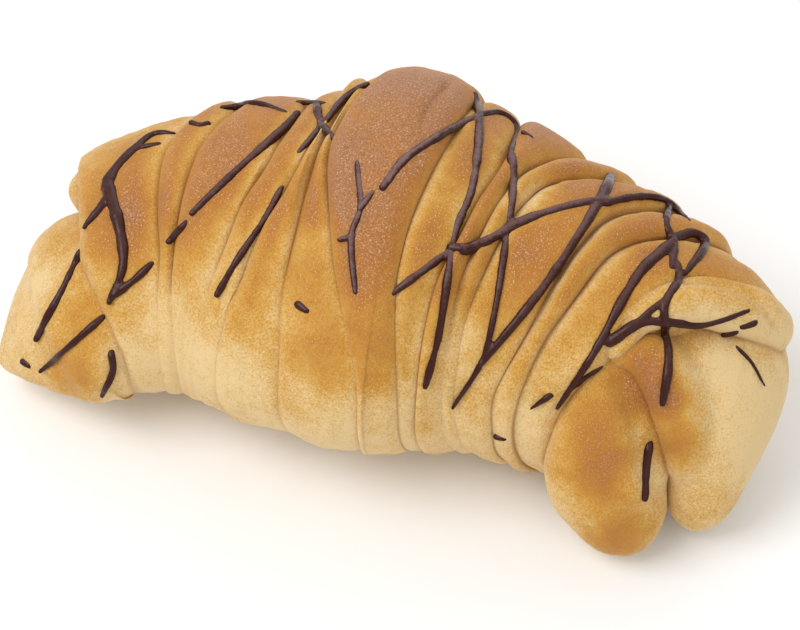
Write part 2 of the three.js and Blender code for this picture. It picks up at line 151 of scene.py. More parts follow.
# The chocolate falls along one slanting direction. Each line is a route over the table, where the
# fall would land if the pastry were not there, with its width at the two ends.
FALL_TURN, FALL_SLOPE = math.radians(14), math.radians(52)
FALL = Vector((
    -math.sin(FALL_TURN) * math.cos(FALL_SLOPE),
    math.cos(FALL_TURN) * math.cos(FALL_SLOPE),
    -math.sin(FALL_SLOPE)))
FALL_START = 300  # how far up the fall a line is let go
BEAD_STEP = 0.4  # distance between the rings of a line
BEAD_AROUND = 12  # mesh steps around a line
BEAD_CAP = np.radians([80, 60, 35])  # the rings of a line's rounded end, from its tip inwards
BEAD_FLOW = 5  # how often a melted line is smoothed
BRIDGE = 1.4  # how far a line reaches over a crease without sagging into it
STIFF = 0.65  # how much a line keeps to the highest skin near it
END_WIDTH, END_TAPER = 0.85, 2  # share of its width that a line has at its ends, and over how far
DRIZZLE = {
    "horn_line_left": [((1.6, 1.8), [(-71, 14), (-72, 3), (-74.5, -10)])],
    "horn_line_middle": [((2, 1.1), [(-62, -1), (-67, -10), (-72, -18)])],
    "horn_line_right": [((1.8, 1.4), [(-58.5, -9), (-57, -14), (-58, -21)])],
    "horn_drop": [((2, 2), [(-76.5, -16.5), (-75, -17)])],
    "left_fork": [
        ((1.4, 3), [(-61, 48), (-65, 47), (-67.5, 42), (-69.5, 36), (-70, 31)]),
        ((1.5, 1.5), [(-68, 41), (-66, 43), (-63, 44.5)]),
        ((2.6, 1.3), [(-70, 32), (-69, 28), (-71.5, 20)]),
        ((3, 1.6), [(-70, 32), (-64, 21), (-61, 12), (-61.5, 3)]),
        ((2, 1.6), [(-61, 5), (-58, 9.5), (-55.5, 14.5)]),
    ],
    "ridge_drop": [((1.9, 1.6), [(-58, 51.5), (-56, 51), (-54.5, 52)])],
    "ridge_line": [((1.9, 1.4), [(-53, 57), (-50, 58.5), (-46, 59.5), (-40, 58.5)])],
    "crown_line": [((2.1, 1.6), [(-37.5, 59), (-39, 54), (-42, 47), (-50.5, 28.5)])],
    "crown_fork": [
        ((1.3, 1.5), [(-38.5, 62), (-35, 62.5), (-33, 62.5)]),
        ((2, 1.6), [(-34.5, 62.5), (-32, 57), (-28.5, 53.5)]),
        ((1.7, 1.6), [(-25.5, 69.5), (-29, 65), (-31, 58), (-34, 48.5)]),
    ],
    "ridge_line_short": [((1.6, 1.5), [(-51, 26), (-53.5, 20.5)])],
    "ridge_line_long": [((1.5, 1.6), [(-35, 39), (-36, 31), (-39, 18), (-40.5, 10)])],
    "front_speck": [((2, 1.6), [(-24.5, 11.5), (-22.5, 10.5)])],
    "dome_line": [
        ((1.6, 1.4), [(-22, 48), (-18.5, 37), (-18.5, 30), (-14.5, 17)]),
        ((1.5, 1.6), [(-17, 41.5), (-18.5, 37)]),
        ((1.2, 1.6), [(-20.5, 28.5), (-18, 30)]),
    ],
    "main_web": [
        ((1.8, 1.9), [(-15.5, 43), (-13, 51), (-7, 60), (-2.5, 65.5)]),
        ((2, 1.5), [(-4, 72.5), (-1.5, 65), (1, 47), (0.5, 36), (3.5, 10), (4, -2)]),
        ((1.4, 1.8), [(-2.5, 66), (2, 68.5), (6, 66), (6.5, 57)]),
        ((2, 1), [(6.5, 58), (8.5, 51), (10.5, 36), (13, 8), (10.5, -6)]),
        ((2.5, 1.6), [(27.5, 58.5), (26, 51), (20, 27), (13, 6)]),
        ((2.3, 2), [(0.5, 32), (4, 32.5), (13, 42), (21, 48), (27, 51)]),
        ((1.5, 1.9), [(-7.5, 18.5), (-4, 24), (1, 32)]),
        ((1.8, 1.3), [(26.5, 50), (34, 54), (40, 54.5), (44.5, 50.5)]),
        ((1.8, 1.8), [(40.5, 53.5), (40, 48.5), (42.5, 44), (43, 38)]),
        ((2.3, 1.5), [(42, 44.5), (46, 47.5), (49, 46), (46, 37)]),
        ((2.6, 1.3), [(42.5, 44.5), (37, 34), (33, 13), (30, -1)]),
        ((2.1, 1.9), [(44, 39), (45, 35), (43.5, 29), (44.5, 24)]),
        ((1.6, 1.2), [(43.5, 30), (39.5, 23.5)]),
        ((2.3, 1.3), [(35.5, 17), (40, 23), (45, 24.5), (52, 25.5), (60, 31)]),
        ((2.2, 1.8), [(44.5, 25), (47.5, 15.5), (49, 5)]),
        ((1.2, 1.3), [(35.5, 11), (33.5, 8), (31.5, 4.5)]),
    ],
    "back_drop": [((1.6, 1.2), [(7.5, 64.5), (9.5, 63.5)])],
    "end_drops": [((1.8, 2), [(60, 27), (62, 28.5)])],
    "end_smear": [((1.4, 1.9), [(57, 24), (59, 25.5)])],
    "end_hairline": [((1.1, 0.7), [(60, 22), (64, 19), (68, 14)])],
    "front_tick": [((1.6, 0.8), [(28, 2), (25, -2.5)])],
    "front_drop": [((1.8, 1.8), [(20.5, -11), (22, -11)])],
    "foot_line": [((2.1, 2), [(49.5, -5), (50.5, -12), (52, -18.5)])],
}

# Soft ridges (height above 0) and wrinkles (below 0) of the dough: height, width and route, laid
# over the table like the drizzle.
WRINKLES = [
    (0.9, 2.6, [(-70, 15), (-72, 1), (-74, -11)]),
    (-0.5, 1.8, [(-73, -13), (-69.5, -15)]),
    (0.5, 1.1, [(-41, 43), (-40.5, 31), (-39, 21), (-37, 6)]),
    (0.4, 1.1, [(-35, 40), (-35, 24), (-34.5, 10)]),
    (0.5, 1.2, [(-33.5, 52), (-32.5, 38), (-30, 19)]),
    (-0.8, 0.9, [(-10, 72.5), (-12, 65.5), (-12, 61)]),
    (1, 2.8, [(34, 11.5), (37, 6), (41, -0.5), (45.5, -10), (49.5, -18)]),
    (-1, 3, [(40.5, 8), (44.5, 1), (49, -7), (53, -15)]),
    (-1.5, 1.4, [(46, 36), (51.6, 37), (58, 36), (62.6, 33.6), (66.6, 29)]),
]

# Places that took more or less heat than their neighbours: x and y over the table, radius, amount.
BROWNING = [
    (-18.5, 1, 7, 0.2),
    (-12, 60, 20, 0.15),
    (-15, 34, 9, 0.07),
    (-4, -15, 10, -0.2),
    (12, 47, 7, -0.25),
    (-1, 44, 6, -0.25),
    (28, 42, 8, -0.15),
    (25, 16, 11, -0.22),
    (8, -5, 9, -0.15),
    (-26, 27, 5, -0.3),
    (8, 22, 6, 0.1),
    (37, 42, 6, 0.3),
    (42, -16, 9, 0.46),
    (50, -29, 9, 0.56),
    (38, -4, 7, 0.3),
    (43, 13, 6, 0.45),
    (49, 6, 6, 0.6),
    (54, -5, 6, 0.45),
    (63, -18, 8, 0.2),
    (47, -3, 4.5, -0.3),
    (51, -11, 5, -0.3),
    (44, -10, 3.5, 0.2),
    (67, 6, 12, -0.3),
    (58, 17, 7, -0.25),
    (52, 31, 7, -0.15),
    (-80, 4, 7, -0.12),
    (-63, -4, 7, 0.25),
    (-64, -18, 8, 0.45),
    (-66, 28, 11, 0.25),
    (-60, 20, 8, 0.15),
    (-53, -7, 8, -0.08),
    (-36, 12, 12, -0.15),
    (8, 10, 8, -0.12),
    (-31, -6, 9, -0.18),
]
BAKE_BASE, BAKE_HEIGHT, BAKE_TOP, BAKE_CREST = 0.08, 0.32, 0.28, 0.2  # what adds to the browning
BAKE_HEIGHTS = (14, 62)  # least browning below the first height, most above the second
BAKE_MOST = 1.2  # the browning stops here
SHELTERED = 0.65  # share of the browning that full shelter takes away

# Layers of noise: share, size and seed.
BAKE_NOISE = [(0.14, 16, 3), (0.08, 6, 4)]
LUMP_NOISE = [(0.7, 17, 21), (0.4, 7, 22)]
STRETCH_NOISE = [(1, 1.5, 23)]
STRETCH_ALONG = (1, 0.12, 0.12)  # draws the stretch marks out along each wrap
LINE_NOISE = [(1, 1.1, 5)]
LIP_NOISE = [(1, 1.7, 11)]
BEAD_NOISE = [(0.18, 3, 40), (0.08, 1.1, 80)]

# Sizes of the soft variation in the crust and in the chocolate.
PATCHES, MOTTLE = 14 * MM, 3.2 * MM
CLOUDS, FINE = 4 * MM, 0.6 * MM
BAKE_STOPS = (0.04, 0.44, 0.73, 1.0)  # how baked pale, golden, amber and brown dough is
PAINTED_SHEEN_HEIGHTS = (46 * MM, 68 * MM)  # the painted grey sheen on the chocolate grows between these heights
MIX_A, MIX_B, MIX_RESULT = 6, 7, 2  # the colour sockets of a Mix node

# Each light's name, place, size and power, in metres and watts.
LIGHTS = [
    ("key_light", (-0.55, -0.35, 0.95), 0.7, 7),
    ("fill_light", (0.7, -0.7, 0.6), 0.9, 1.5),
    ("rim_light", (0.1, 0.8, 0.7), 0.8, 2),
]
LIGHT_TARGET = Vector((0, 0, 0.03))
CAMERA_TARGET = Vector((0, -0.006, 0.026))
SENSOR_WIDTH = 36  # millimetres


# ---------- sizes and colours a user would change ----------


class DoughSizes(bpy.types.PropertyGroup):
    """Sizes of the wrapped dough."""

    lip_round: FloatProperty(
        name="Lip rounding", description="How far in from its edge a lip reaches full height",
        default=2.2 * MM, unit="LENGTH", precision=5)
    crease: FloatProperty(
        name="Crease depth", description="Depth of the crease under each lip",
        default=0.9 * MM, unit="LENGTH", precision=5)
    swell: FloatProperty(
        name="Swell", description="How far each wrap bulges between its creases",
        default=0.9 * MM, unit="LENGTH", precision=5)
    lumps: FloatProperty(
        name="Lumps", description="Height of the soft unevenness of the dough",
        default=0.5 * MM, unit="LENGTH", precision=5)
    stretch: FloatProperty(
        name="Stretch marks", description="Height of the fine lines that run along each wrap",
        default=0.16 * MM, unit="LENGTH", precision=5)
    around: IntProperty(
        name="Steps around", description="Mesh steps around the roll", default=208, min=24)


class CrustLook(bpy.types.PropertyGroup):
    """Colours and finish of the baked crust."""

    pale: FloatVectorProperty(
        name="Pale dough", description="Dough that was sheltered in the folds and low on the sides",
        subtype="COLOR", default=(0.75, 0.55, 0.27), min=0, max=1)
    golden: FloatVectorProperty(
        name="Golden crust", description="Crust part way up the roll",
        subtype="COLOR", default=(0.58, 0.30, 0.045), min=0, max=1)
    amber: FloatVectorProperty(
        name="Amber crust", description="Well baked crust on the shoulders",
        subtype="COLOR", default=(0.46, 0.175, 0.022), min=0, max=1)
    brown: FloatVectorProperty(
        name="Brown crust", description="Crust on the crests",
        subtype="COLOR", default=(0.39, 0.18, 0.085), min=0, max=1)
    flour: FloatVectorProperty(
        name="Flour dust", description="Pale dust on skin that faces up", subtype="COLOR",
        default=(0.88, 0.60, 0.30), min=0, max=1)
    scorched: FloatVectorProperty(
        name="Scorched specks", description="Fine dark specks on well baked crust",
        subtype="COLOR", default=(0.26, 0.09, 0.03), min=0, max=1)
    # The fold colour is painted shade: it darkens the dough down in the creases and seams, where shade
    # falls.
    fold: FloatVectorProperty(
        name="Fold dough", description="Warm dough down in the creases", subtype="COLOR",
        default=(0.40, 0.17, 0.035), min=0, max=1)
    roughness: FloatProperty(
        name="Roughness", description="Roughness of the crust", subtype="FACTOR",
        default=0.62, min=0, max=1)
    dots: FloatProperty(
        name="Dust spacing", description="Distance between specks of flour dust",
        default=0.5 * MM, unit="LENGTH", precision=5)
    grain: FloatProperty(
        name="Grain size", description="Size of the fine speckle of the crust",
        default=0.4 * MM, unit="LENGTH", precision=5)


class ChocolateLook(bpy.types.PropertyGroup):
    """Sizes and colours of the drizzle."""

    dark: FloatVectorProperty(
        name="Dark chocolate", description="Colour of a thick line", subtype="COLOR",
        default=(0.040, 0.008, 0.005), min=0, max=1)
    # Painted sheen: the grey reflection of the overhead light on top of the lines.
    painted_sheen: FloatVectorProperty(
        name="Painted_grey_sheen", description="Greyer colour on top of a line", subtype="COLOR",
        default=(0.20, 0.115, 0.11), min=0, max=1)
    roughness: FloatProperty(
        name="Roughness", description="Roughness of the set chocolate", subtype="FACTOR",
        default=0.24, min=0, max=1)
    lift: FloatProperty(
        name="Lift", description="How far the middle of a line stands off the crust",
        default=0.25 * MM, unit="LENGTH", precision=5)
    depth: FloatProperty(
        name="Depth", description="Half the thickness of a line as a share of half its width",
        subtype="FACTOR", default=0.8, min=0.1, max=1)
    voxel: FloatProperty(
        name="Voxel", description="Mesh size at which touching lines are melted together",
        default=0.27 * MM, unit="LENGTH", precision=5)


class StudioSizes(bpy.types.PropertyGroup):
    """The floor, the lights and the camera."""

    floor_colour: FloatVectorProperty(
        name="Floor colour", description="Colour of the plain floor", subtype="COLOR",
        default=(0.92, 0.92, 0.92), min=0, max=1)
    floor_size: FloatProperty(
        name="Floor size", description="Side of the square floor", default=6, unit="LENGTH")
    turn: FloatProperty(
        name="Camera turn", description="Camera direction round the croissant, from the front",
        default=math.radians(14), subtype="ANGLE")
    height: FloatProperty(
        name="Camera height", description="Camera direction above the floor",
        default=math.radians(52), subtype="ANGLE")
    sky: FloatProperty(
        name="Sky", description="Strength of the even light from all sides", default=0.69, min=0)
    distance: FloatProperty(
        name="Camera distance", description="Distance from the camera to the croissant",
        default=0.56, unit="LENGTH")
    lens: FloatProperty(
        name="Lens", description="Focal length", default=125, subtype="DISTANCE_CAMERA",
        unit="CAMERA")


# ---------- curves and noise ----------


def smooth(keys, rows, key):
    """A smooth curve through rows of numbers at increasing keys, read at many keys at once."""
    keys, rows = np.asarray(keys, float), np.asarray(rows, float)
    last = len(keys) - 1
    place = np.clip(key, keys[0], keys[-1])
    i = np.clip(np.searchsorted(keys, place, side="right") - 1, 0, last - 1)
    before = np.maximum(np.arange(last + 1) - 1, 0)
    after = np.minimum(np.arange(last + 1) + 1, last)
    slopes = (rows[after] - rows[before]) / (keys[after] - keys[before])[:, None]
    span = (keys[i + 1] - keys[i])[..., None]
    t = (place - keys[i])[..., None] / span
    return (
        rows[i] * (2 * t**3 - 3 * t**2 + 1) + rows[i + 1] * (3 * t**2 - 2 * t**3)
        + span * slopes[i] * (t**3 - 2 * t**2 + t) + span * slopes[i + 1] * (t**3 - t**2)
    )


def noise(points, size, seed):
    """Smooth seeded noise from -1 to 1 at 3-D points, with lumps of about the given size."""
    side = 32
    lattice = np.random.default_rng(seed).uniform(-1, 1, (side, side, side))
    cell = points / size
    base = np.floor(cell).astype(int)
    blend = cell - base
    blend = blend * blend * (3 - 2 * blend)
    total = np.zeros(points.shape[:-1])
    for corner in itertools.product((0, 1), repeat=3):
        near = np.where(np.array(corner, bool), blend, 1 - blend)
        x, y, z = np.moveaxis((base + corner) % side, -1, 0)
        total += near.prod(axis=-1) * lattice[x, y, z]
    return total


def layered(points, layers, seed=0):
    """Noise in layers of share, size and seed; a further seed tells like pieces apart."""
    return sum(share * noise(points, size, own + seed) for share, size, own in layers)


def ring_noise(angle, wrap, layers):
    """Noise around the roll that differs from wrap to wrap."""
    rad, radius = np.radians(angle), 3
    ring = np.stack([np.cos(rad) * radius, np.sin(rad) * radius, np.full_like(rad, wrap)], -1)
    return layered(ring, layers)


def ramp(value, low, high):
    """0 below low, 1 above high, and smooth between."""
    t = np.clip((value - low) / (high - low), 0, 1)
    return t * t * (3 - 2 * t)


def fading(distance, width):
    """1 at no distance, and smoothly less within about the given width."""
    return np.exp(-((distance / width) ** 2))


def unit(vectors):
    """The same directions at length 1."""
    return vectors / np.linalg.norm(vectors, axis=-1, keepdims=True)


def route_keys(route):
    """How far along a route each of its points is."""
    return np.concatenate([[0], np.cumsum(np.linalg.norm(np.diff(route, axis=0), axis=1))])


def over_window(values, steps, pick):
    """What pick makes of the values up to some steps away on both sides of each value."""
    padded = np.pad(values, steps, mode="edge")
    return np.array([pick(padded[i:i + 2 * steps + 1]) for i in range(len(values))])


# ---------- meshes ----------


def tube_rings(middle, wide, thick, half_width, half_thickness, around):
    """Oval rings of points across a middle line."""
    turn = 2 * math.pi * np.arange(around) / around
    sideways = (wide * half_width[:, None])[:, None] * np.cos(turn)[:, None]
    upwards = (thick * half_thickness[:, None])[:, None] * np.sin(turn)[:, None]
    return middle[:, None] + sideways + upwards


def ring_faces(rings, count):
    """Quads between neighbouring rings of points and one face over each end."""
    faces = []
    for r in range(rings - 1):
        for i in range(count):
            j = (i + 1) % count
            a, b = r * count, (r + 1) * count
            faces.append((a + i, a + j, b + j, b + i))
    faces.append(tuple(reversed(range(count))))
    faces.append(tuple((rings - 1) * count + i for i in range(count)))
    return faces


def box_mesh(low, high):
    """The corners and faces of a box."""
    corners = np.array(list(itertools.product(*zip(low, high))), float)
    faces = [(0, 1, 3, 2), (4, 6, 7, 5), (0, 4, 5, 1), (2, 3, 7, 6), (0, 2, 6, 4), (1, 5, 7, 3)]
    return corners, faces


def new_object(name, points, faces):
    """A new mesh object in the scene."""
    mesh = bpy.data.meshes.new(name)
    mesh.from_pydata(points.reshape(-1, 3).tolist(), [], faces)
    mesh.update()
    obj = bpy.data.objects.new(name, mesh)
    bpy.context.scene.collection.objects.link(obj)
    return obj


def face_outwards(obj):
    """Turns all faces of a closed mesh outwards."""
    work = bmesh.new()
    work.from_mesh(obj.data)
    bmesh.ops.recalc_face_normals(work, faces=work.faces)
    if work.calc_volume(signed=True) < 0:
        bmesh.ops.reverse_faces(work, faces=work.faces)
    work.to_mesh(obj.data)
    work.free()


def apply_modifiers(obj):
    """Replaces the mesh by the result of its modifiers."""
    bpy.context.view_layer.update()
    view = bpy.context.evaluated_depsgraph_get()
    result = bpy.data.meshes.new_from_object(obj.evaluated_get(view))
    obj.modifiers.clear()
    obj.data = result


def combine(obj, other, operation):
    """Joins another closed object to this one, or cuts it away, and removes the other."""
    boolean = obj.modifiers.new("combine", "BOOLEAN")
    boolean.object, boolean.operation, boolean.solver = other, operation, "MANIFOLD"
    apply_modifiers(obj)
    bpy.data.objects.remove(other)


def join_objects(first, others):
    """Puts the meshes of other objects into the first one."""
    with bpy.context.temp_override(active_object=first, selected_editable_objects=[first, *others]):
        bpy.ops.object.join()


def melt_together(obj, size, flowing):
    """Remeshes touching shapes into one skin and lets it flow a little."""
    remesh = obj.modifiers.new("melt", "REMESH")
    remesh.mode, remesh.voxel_size, remesh.use_smooth_shade = "VOXEL", size, True
    flow = obj.modifiers.new("flow", "SMOOTH")
    flow.factor, flow.iterations = 0.5, flowing
    apply_modifiers(obj)


def read_vertices(mesh, field):
    """The places ("co") or normals ("normal") of all vertices."""
    values = np.empty(len(mesh.vertices) * 3)
    mesh.vertices.foreach_get(field, values)
    return values.reshape(-1, 3)


def move_vertices(mesh, points):
    """Puts all vertices at new places."""
    mesh.vertices.foreach_set("co", points.ravel())
    mesh.update()


def write_attribute(mesh, name, values):
    """Keeps one number for each vertex, for the material to read."""
    attribute = mesh.attributes.new(name, "FLOAT", "POINT")
    attribute.data.foreach_set("value", values.astype(np.float32))


def finish_piece(obj, material):
    """Puts a shape worked out in millimetres at its real size, smooth, in one material."""
    move_vertices(obj.data, read_vertices(obj.data, "co") * MM)
    obj.data.shade_smooth()
    obj.data.materials.clear()
    obj.data.materials.append(material)


# ---------- the roll ----------


def ring_at(station):
    """Middle, direction along the roll, direction to the front, and half sizes at each station."""
    keys, rows = [r[0] for r in ROLL], [r[1:] for r in ROLL]
    y, z, depth, height = np.moveaxis(smooth(keys, rows, station), -1, 0)
    step = 0.5
    ahead = np.minimum(station + step, keys[-1])
    behind = np.maximum(station - step, keys[0])
    rise = smooth(keys, rows, ahead)[..., 0] - smooth(keys, rows, behind)[..., 0]
    along = unit(np.stack([ahead - behind, rise, np.zeros_like(rise)], -1))
    front = np.stack([along[..., 1], -along[..., 0], np.zeros_like(rise)], -1)
    return np.stack([station, y, z], -1), along, front, depth, height


def fold_station(fold, angle):
    """Where a fold line crosses the roll at each angle."""
    low, shoulder, top, back = FOLD_ANGLES
    under = (fold.low + fold.back) / 2
    keys = [back - 360, UNDER - 360, low, shoulder, top, back, UNDER, low + 360]
    values = [fold.back, under, fold.low, fold.shoulder, fold.top, fold.back, under, fold.low]
    return smooth(keys, [[v] for v in values], angle)[..., 0]


def fold_lines(angle):
    """The station of every fold line at each angle, a little uneven except at the two ends."""
    lines = []
    for n, fold in enumerate(FOLDS):
        line = fold_station(fold, angle)
        if 0 < n <= LAST_WRAP:
            line = line + LINE_WANDER * ring_noise(angle, n * 7.3, LINE_NOISE)
        lines.append(line)
    return lines


def kept_share(fold, angle):
    """The share of a fold's height left at each angle: all of it on top, less low at the front."""
    return fold.kept + (1 - fold.kept) * ramp(angle, *FULL_RELIEF)


def wrap_lips(n, angle):
    """The heights of a wrap's left and right lips at each angle, 0 where the neighbour is on top."""
    left, right = FOLDS[n], FOLDS[n + 1]
    return (
        left.lip * kept_share(left, angle) * (left.over == "right"),
        right.lip * kept_share(right, angle) * (right.over == "left"),
    )


def wrap_columns(width, lip_round, edge_left, edge_right):
    """Shares across a wrap where mesh columns run, close together round each lip."""
    fine = min(0.5, lip_round / width)
    curved = fine * (1 - np.cos(np.linspace(0, math.pi / 2, 8)))
    straight = np.linspace(0, fine, 5)
    start = curved if edge_left else straight
    end = 1 - (curved if edge_right else straight)
    middle = np.linspace(fine, 1 - fine, max(4, int(width / COLUMN_STEP)))
    return np.unique(np.concatenate([start, middle, end[1:]]).round(6))


def wrap_skin(n, t, lines, angle, sizes):
    """One column of points on a wrap, a share t of the way across it: its station and its lift off
    the roll, how much painted crease shade it gets, and how sheltered and how raised the dough is
    there."""
    left, right = FOLDS[n], FOLDS[n + 1]
    deep = LOW_RELIEF + (1 - LOW_RELIEF) * ramp(angle, *FULL_RELIEF)
    width = np.maximum(lines[n + 1] - lines[n], NARROWEST)
    near = t * width if n > 0 else np.full_like(angle, OUT_OF_REACH)
    far = (1 - t) * width if n < LAST_WRAP else np.full_like(angle, OUT_OF_REACH)
    lip_left, lip_right = wrap_lips(n, angle)
    uneven = 1 + LIP_UNEVEN * ring_noise(angle, n, LIP_NOISE)
    lift, shift = np.zeros_like(angle), np.zeros_like(angle)
    for lip, gap, away, sign in ((lip_left, near, 1 - t, -1), (lip_right, far, t, 1)):
        u = np.minimum(gap / (sizes.lip_round / MM), 1)
        lift += lip * uneven * np.sqrt(1 - (1 - u) ** 2) * away
        shift += sign * LIP_OVERHANG * lip * np.sin(math.pi * np.sqrt(u)) * (1 - u)
    lift += sizes.swell / MM * deep * 4 * t * (1 - t)
    lift -= sizes.crease / MM * deep * fading(np.minimum(near, far), CREASE_WIDTH)
    station = lines[n] + t * (lines[n + 1] - lines[n]) + shift
    # Painted crease shade: strongest on each fold line, fading out within the line width.
    groove = np.maximum(
        fading(near, LINE_WIDTH) * kept_share(left, angle),
        fading(far, LINE_WIDTH) * kept_share(right, angle))
    shelter = fading(near, SHELTER) * (left.over == "left")
    shelter += fading(far, SHELTER) * (right.over == "right")
    crest = np.clip(lift, 0, FULL_CREST) / FULL_CREST
    return station, lift, groove, np.clip(shelter, 0, 1) * deep, crest


def roll_surface(sizes):
    """Points of the roll on a grid, the dough's state and painted crease shade there, its fold lines
    and the angles.
    """
    angle = UNDER - 360 * np.arange(sizes.around) / sizes.around
    lines = fold_lines(angle)
    columns = []
    for n in range(LAST_WRAP + 1):
        width = np.maximum(lines[n + 1] - lines[n], NARROWEST).mean()
        lip_left, lip_right = wrap_lips(n, angle)
        shares = wrap_columns(width, sizes.lip_round / MM, lip_left.any(), lip_right.any())
        for t in shares if n == LAST_WRAP else shares[:-1]:
            columns.append(wrap_skin(n, t, lines, angle, sizes))
    table = np.moveaxis(np.array(columns), 1, 0)
    station, lift, skin = table[0], table[1], table[2:]
    middle, _, front, depth, height = ring_at(station)
    rad = np.radians(angle)
    points = middle + front * (np.cos(rad) * (depth + lift))[..., None]
    points[..., 2] += np.sin(rad) * (height + lift)
    return points, skin, lines, angle


def end_rings(line, angle, sign, bulge):
    """The rounded end of the roll past its last fold line."""
    middle, along, front, depth, height = ring_at(line)
    rad = np.radians(angle)
    outward = along[np.argmin(abs(angle - TOP_ANGLE))]
    rings = []
    for turn in END_TURNS:
        out, share = bulge * math.sin(turn), math.cos(turn)
        ring = middle + front * (depth * share * np.cos(rad))[:, None]
        ring[:, 2] += height * share * np.sin(rad)
        rings.append(ring + sign * out * outward)
    return rings


def roll_object(sizes):
    """The whole roll with its rounded ends, and the state of the dough and its painted crease shade at
    each of its points.
    """
    points, skin, lines, angle = roll_surface(sizes)
    first = np.array(end_rings(lines[0], angle, -1, END_BULGE[0])[::-1])
    last = np.array(end_rings(lines[-1], angle, 1, END_BULGE[1]))
    whole = np.concatenate([first, points, last])
    skin = np.pad(skin, ((0, 0), (len(first), len(last)), (0, 0)), mode="edge")
    obj = new_object("pastry_crust", whole, ring_faces(len(whole), whole.shape[1]))
    face_outwards(obj)
    return obj, skin.reshape(3, -1)


# ---------- the end tongues ----------


def lobe_object(name, side, path):
    """A rounded tongue of dough along a curved middle line."""
    path, side = np.array(path, float), np.array(side, float)
    keys = np.arange(len(path))
    last = len(path) - 1
    turns = CAP_TURN * np.arange(1, CAP_RINGS + 1) / CAP_RINGS
    key = np.pad(np.linspace(0, last, LOBE_RINGS), CAP_RINGS, mode="edge")
    share = np.concatenate([np.cos(turns)[::-1], np.ones(LOBE_RINGS), np.cos(turns)])
    push = np.concatenate([
        -path[0, 4] * np.sin(turns)[::-1], np.zeros(LOBE_RINGS), path[-1, 4] * np.sin(turns)])
    row = smooth(keys, path, key)
    for end, inner, rings in ((0, 1, slice(0, CAP_RINGS)), (last, last - 1, slice(-CAP_RINGS, None))):
        apart = np.linalg.norm(path[end, :3] - path[inner, :3])
        row[rings, 3:] += abs(push[rings, None]) * (path[end, 3:] - path[inner, 3:]) / apart
    along = unit((smooth(keys, path, key + KEY_STEP) - smooth(keys, path, key - KEY_STEP))[:, :3])
    wide = unit(side - along * (along @ side)[:, None])
    thick = np.cross(along, wide)
    middle = row[:, :3] + along * push[:, None]
    rings = tube_rings(middle, wide, thick, row[:, 3] * share, row[:, 4] * share, LOBE_AROUND)
    obj = new_object(name, rings, ring_faces(len(rings), LOBE_AROUND))
    face_outwards(obj)
    return obj


# ---------- shader expressions ----------


class Wire:
    """A shader socket that Python operators work on."""

    def __init__(self, tree, socket):
        self.tree, self.socket = tree, socket

    def make(self, kind, settings=None, inputs=None, output=0):
        """Adds a node: its type, its settings, then the values or wires of its sockets."""
        node = self.tree.nodes.new(kind)
        for key, value in (settings or {}).items():
            if key == "stops":
                stops = node.color_ramp.elements
                stops.remove(stops[1])
                stops[0].position, stops[0].color = value[0][0], (*value[0][1], 1)
                for place, colour in value[1:]:
                    stops.new(place).color = (*colour, 1)
            else:
                setattr(node, key, value)
        for key, value in (inputs or {}).items():
            if isinstance(value, Wire):
                self.tree.links.new(value.socket, node.inputs[key])
            else:
                node.inputs[key].default_value = value
        return Wire(self.tree, node.outputs[output])

    def feed(self, shader, name):
        """Connects this wire to one of the shader's sockets."""
        self.tree.links.new(self.socket, shader.inputs[name])

    def math(self, operation, *values):
        """One step of arithmetic."""
        return self.make("ShaderNodeMath", {"operation": operation}, dict(enumerate(values)))

    def __add__(self, other):
        return self.math("ADD", self, other)

    __radd__ = __add__

    def __sub__(self, other):
        return self.math("SUBTRACT", self, other)

    def __rsub__(self, other):
        return self.math("SUBTRACT", other, self)

    def __mul__(self, other):
        return self.math("MULTIPLY", self, other)

    __rmul__ = __mul__

    def between(self, low, high):
        """0 below low, 1 above high."""
        return self.make("ShaderNodeMapRange", {"interpolation_type": "SMOOTHSTEP"},
                         {"Value": self, "From Min": low, "From Max": high})

    def upright(self):
        """The Z part of this vector."""
        return self.make("ShaderNodeSeparateXYZ", None, {"Vector": self}, "Z")

    def tint(self, colour, share):
        """This colour changed toward another by a share from 0 to 1."""
        return self.make("ShaderNodeMix", {"data_type": "RGBA"},
                         {"Factor": share, MIX_A: self, MIX_B: (*colour, 1)}, MIX_RESULT)

    def speckle(self, place, size, detail=2.0, rough=0.5):
        """Noise about 0.5 with specks of about the given size."""
        return self.make("ShaderNodeTexNoise", None,
                         {"Vector": place, "Scale": 1 / size, "Detail": detail, "Roughness": rough})

    def stored(self, name):
        """A number that the mesh keeps for each of its points."""
        return self.make("ShaderNodeAttribute", {"attribute_name": name}, None, "Fac")


def new_material(name, sockets):
    """A new material with constant values on its shader's sockets, a wire to build on, and the
    shader."""
    material = bpy.data.materials.new(name)
    material.use_nodes = True
    shader = material.node_tree.nodes["Principled BSDF"]
    for key, value in sockets.items():
        shader.inputs[key].default_value = value
    return material, Wire(material.node_tree, None), shader


